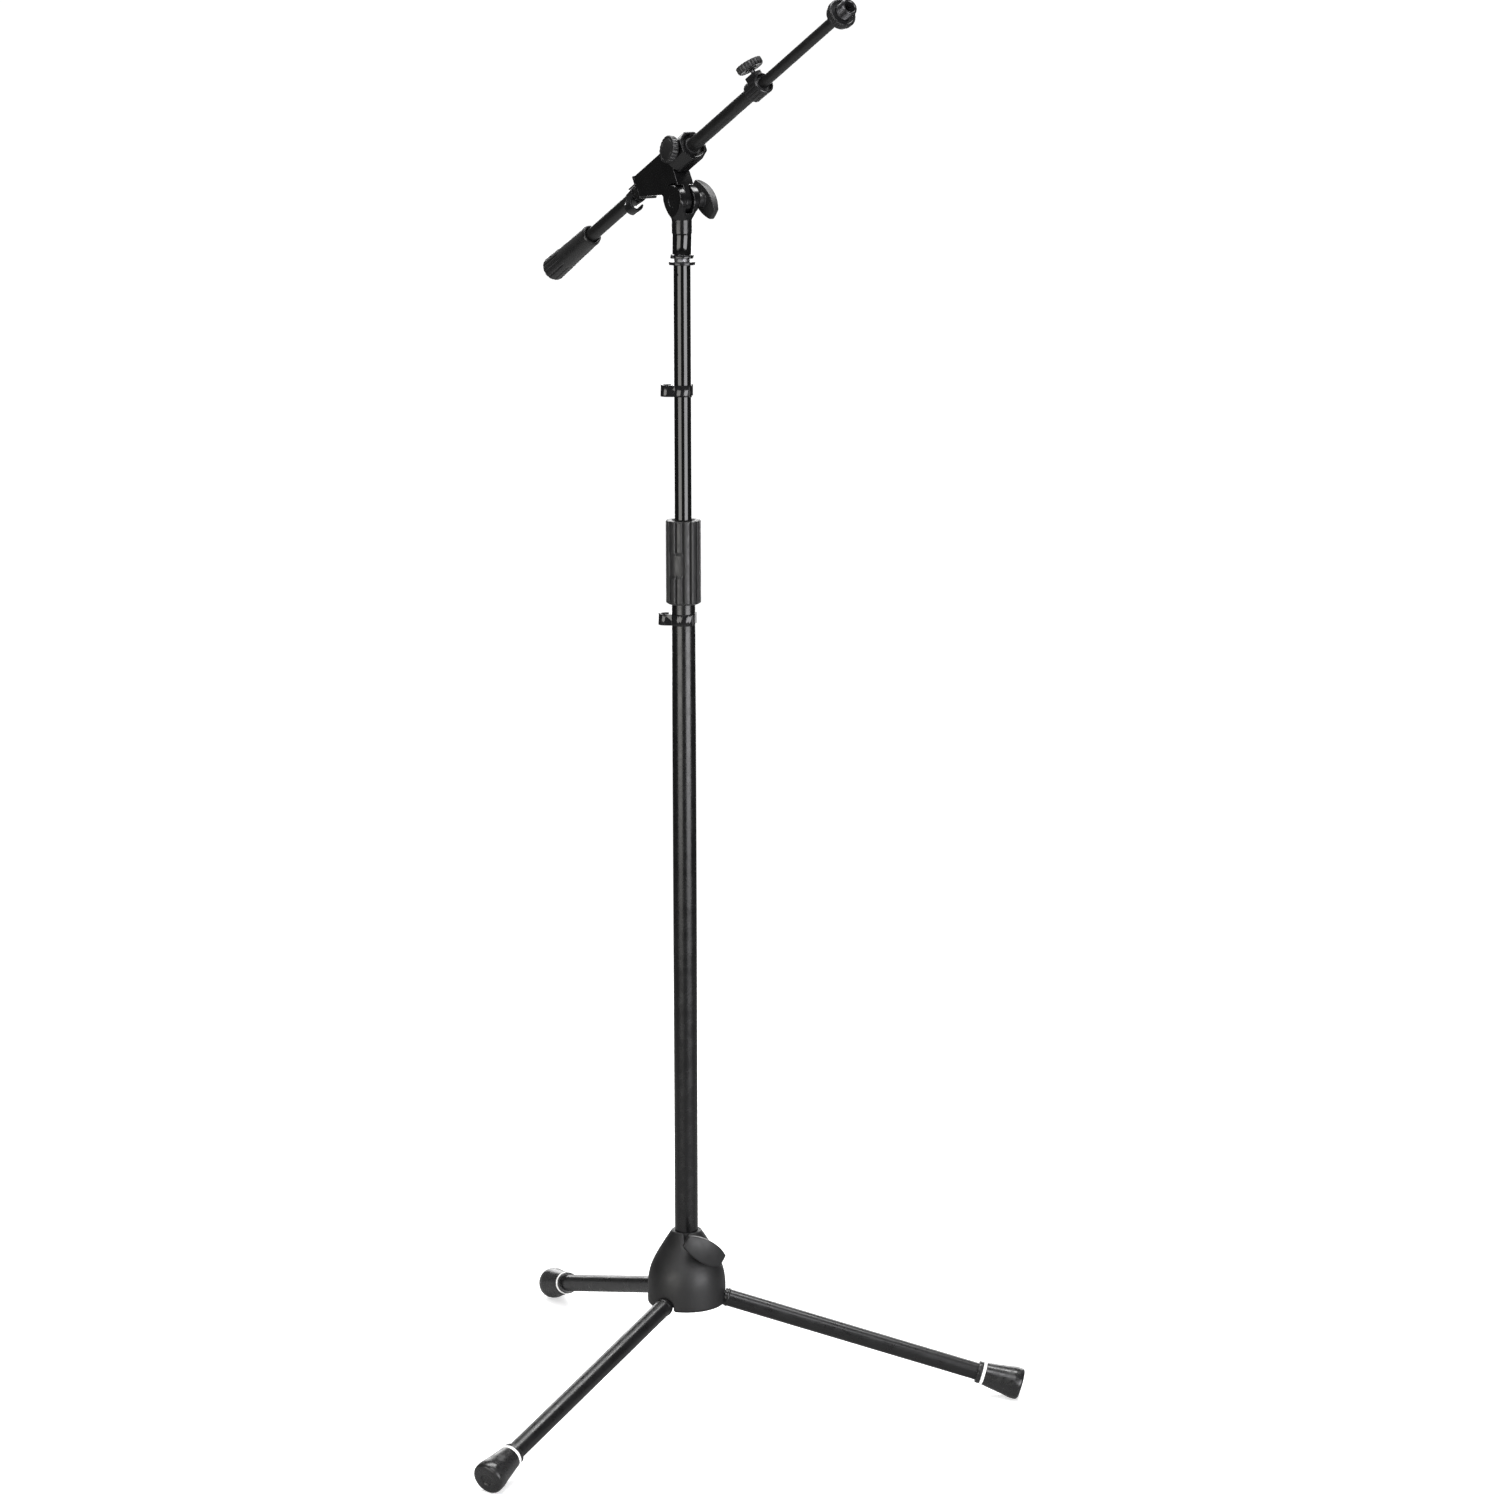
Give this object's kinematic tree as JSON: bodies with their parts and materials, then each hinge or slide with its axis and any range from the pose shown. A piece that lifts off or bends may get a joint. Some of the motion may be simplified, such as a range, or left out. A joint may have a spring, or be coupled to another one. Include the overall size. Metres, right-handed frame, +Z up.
{
  "type": "boom microphone stand",
  "caption": "Folding tripod microphone stand with a telescopic column and a tilting, telescopic boom arm ending in a threaded microphone stud.",
  "frame": {"origin": "on the floor, under the axis of the column", "axes": "+Z up along the column, +X along leg 1"},
  "size_m": [0.5196, 0.5962, 1.3856],
  "materials": {
    "satin_black": "satin black powder coat",
    "gloss_black": "gloss black",
    "clip_plastic": "glossy black plastic",
    "moulded_black": "fine-textured black plastic",
    "grip_rubber": "matte dark grey rubber",
    "foot_rubber": "satin black rubber",
    "white_ring": "white plastic",
    "steel": "zinc-plated steel",
    "black_stud": "blackened steel thread",
    "nylon": "natural nylon"
  },
  "bodies": {
    "hub": {"hub_shell": "satin_black", "hub_bush": "nylon", "hub_brake_shoe": "nylon", "leg_hinge_pins": "steel"},
    "hub_wing": {"hub_wing_screw": "steel", "hub_wing": "moulded_black"},
    "leg_1": {"leg_root_1": "satin_black", "leg_tube_1": "satin_black", "foot_1": "foot_rubber", "foot_ring_1": "white_ring"},
    "leg_2": {"leg_root_2": "satin_black", "leg_tube_2": "satin_black", "foot_2": "foot_rubber", "foot_ring_2": "white_ring"},
    "leg_3": {"leg_root_3": "satin_black", "leg_tube_3": "satin_black", "foot_3": "foot_rubber", "foot_ring_3": "white_ring"},
    "column": {"lower_tube": "satin_black", "column_end_plug": "moulded_black", "clutch_body": "moulded_black", "clutch_collet": "nylon"},
    "height_grip": {"clutch_core": "steel", "clutch_grip": "grip_rubber"},
    "lower_clip": {"cable_clip_lower": "clip_plastic"},
    "upper_column": {"upper_tube": "gloss_black", "upper_tube_guide": "nylon", "top_stud": "steel"},
    "upper_clip": {"cable_clip_upper": "clip_plastic"},
    "lock_nut": {"lock_nut": "satin_black"},
    "swivel": {"swivel_sleeve": "gloss_black", "yoke": "satin_black", "tilt_bolt": "steel", "tilt_washers": "nylon"},
    "tilt_wing": {"tilt_nut": "steel", "tilt_wing": "moulded_black"},
    "clamp": {"clamp_body": "satin_black", "clamp_liner": "moulded_black", "clamp_pad": "nylon"},
    "clamp_knob": {"clamp_screw": "steel", "clamp_knob": "moulded_black"},
    "boom": {"boom_tube": "satin_black", "tail_grip": "grip_rubber", "tail_plug": "moulded_black", "boom_clutch_collar": "moulded_black", "boom_clutch_liner": "moulded_black"},
    "boom_clip": {"boom_cable_clip": "clip_plastic"},
    "boom_clutch_knob": {"boom_clutch_screw": "steel", "boom_clutch_knob": "moulded_black"},
    "boom_front": {"boom_inner_tube": "satin_black", "inner_tube_guide": "nylon", "head_stud": "black_stud"},
    "head_ring": {"head_lock_ring": "moulded_black"}
  },
  "joints": [
    {"name": "leg_1_fold", "type": "hinge", "parent": "hub", "child": "leg_1", "pos_m": [0.025, 0, 0.10531], "axis": [0, 1, 0], "range_deg": [0, 73]},
    {"name": "leg_2_fold", "type": "hinge", "parent": "hub", "child": "leg_2", "pos_m": [-0.0125, 0.02165, 0.10531], "axis": [-0.866, -0.5, 0], "range_deg": [0, 73]},
    {"name": "leg_3_fold", "type": "hinge", "parent": "hub", "child": "leg_3", "pos_m": [-0.0125, -0.02165, 0.10531], "axis": [0.866, -0.5, 0], "range_deg": [0, 73]},
    {"name": "hub_wing_turn", "type": "hinge", "parent": "hub", "child": "hub_wing", "pos_m": [0, 0, 0.16], "axis": [0.5, -0.866, 0], "range_deg": [0, 270]},
    {"name": "column_slide", "type": "slide", "parent": "hub", "child": "column", "axis": [0, 0, 1], "range_m": [-0.28, 0]},
    {"name": "height_grip_turn", "type": "hinge", "parent": "column", "child": "height_grip", "pos_m": [0, 0, 0.844], "axis": [0, 0, 1], "range_deg": [0, 120]},
    {"name": "lower_clip_turn", "type": "hinge", "parent": "column", "child": "lower_clip", "pos_m": [0, 0, 0.7888], "axis": [0, 0, 1], "continuous": true},
    {"name": "upper_column_slide", "type": "slide", "parent": "column", "child": "upper_column", "axis": [0, 0, 1], "range_m": [-0.115, 0.4]},
    {"name": "upper_clip_turn", "type": "hinge", "parent": "upper_column", "child": "upper_clip", "pos_m": [0, 0, 1.011], "axis": [0, 0, 1], "continuous": true},
    {"name": "lock_nut_turn", "type": "hinge", "parent": "upper_column", "child": "lock_nut", "pos_m": [0, 0, 1.1393], "axis": [0, 0, 1], "continuous": true},
    {"name": "boom_swivel", "type": "hinge", "parent": "upper_column", "child": "swivel", "pos_m": [0, 0, 1.151], "axis": [0, 0, 1], "continuous": true},
    {"name": "boom_tilt", "type": "hinge", "parent": "swivel", "child": "clamp", "pos_m": [0, 0, 1.1923], "axis": [-0.766, -0.6428, 0], "range_deg": [-85, 42]},
    {"name": "tilt_wing_turn", "type": "hinge", "parent": "swivel", "child": "tilt_wing", "pos_m": [0, 0, 1.1923], "axis": [0.766, 0.6428, 0], "range_deg": [0, 270]},
    {"name": "boom_slide", "type": "slide", "parent": "clamp", "child": "boom", "axis": [0.5622, -0.67, 0.4848], "range_m": [-0.085, 0.008]},
    {"name": "clamp_knob_turn", "type": "hinge", "parent": "clamp", "child": "clamp_knob", "pos_m": [0.0039, -0.00465, 1.23808], "axis": [-0.8141, -0.5515, 0.1818], "range_deg": [0, 270]},
    {"name": "boom_telescope", "type": "slide", "parent": "boom", "child": "boom_front", "axis": [0.5622, -0.67, 0.4848], "range_m": [-0.112, 0.2]},
    {"name": "boom_clutch_knob_turn", "type": "hinge", "parent": "boom", "child": "boom_clutch_knob", "pos_m": [0.08086, -0.09637, 1.30445], "axis": [-0.4993, 0.1924, 0.8448], "range_deg": [0, 270]},
    {"name": "boom_clip_turn", "type": "hinge", "parent": "boom", "child": "boom_clip", "pos_m": [-0.0485, 0.0578, 1.1929], "axis": [0.5622, -0.67, 0.4848], "continuous": true},
    {"name": "head_ring_turn", "type": "hinge", "parent": "boom_front", "child": "head_ring", "pos_m": [0.1585, -0.1889, 1.3714], "axis": [0.5622, -0.67, 0.4848], "continuous": true}
  ]
}
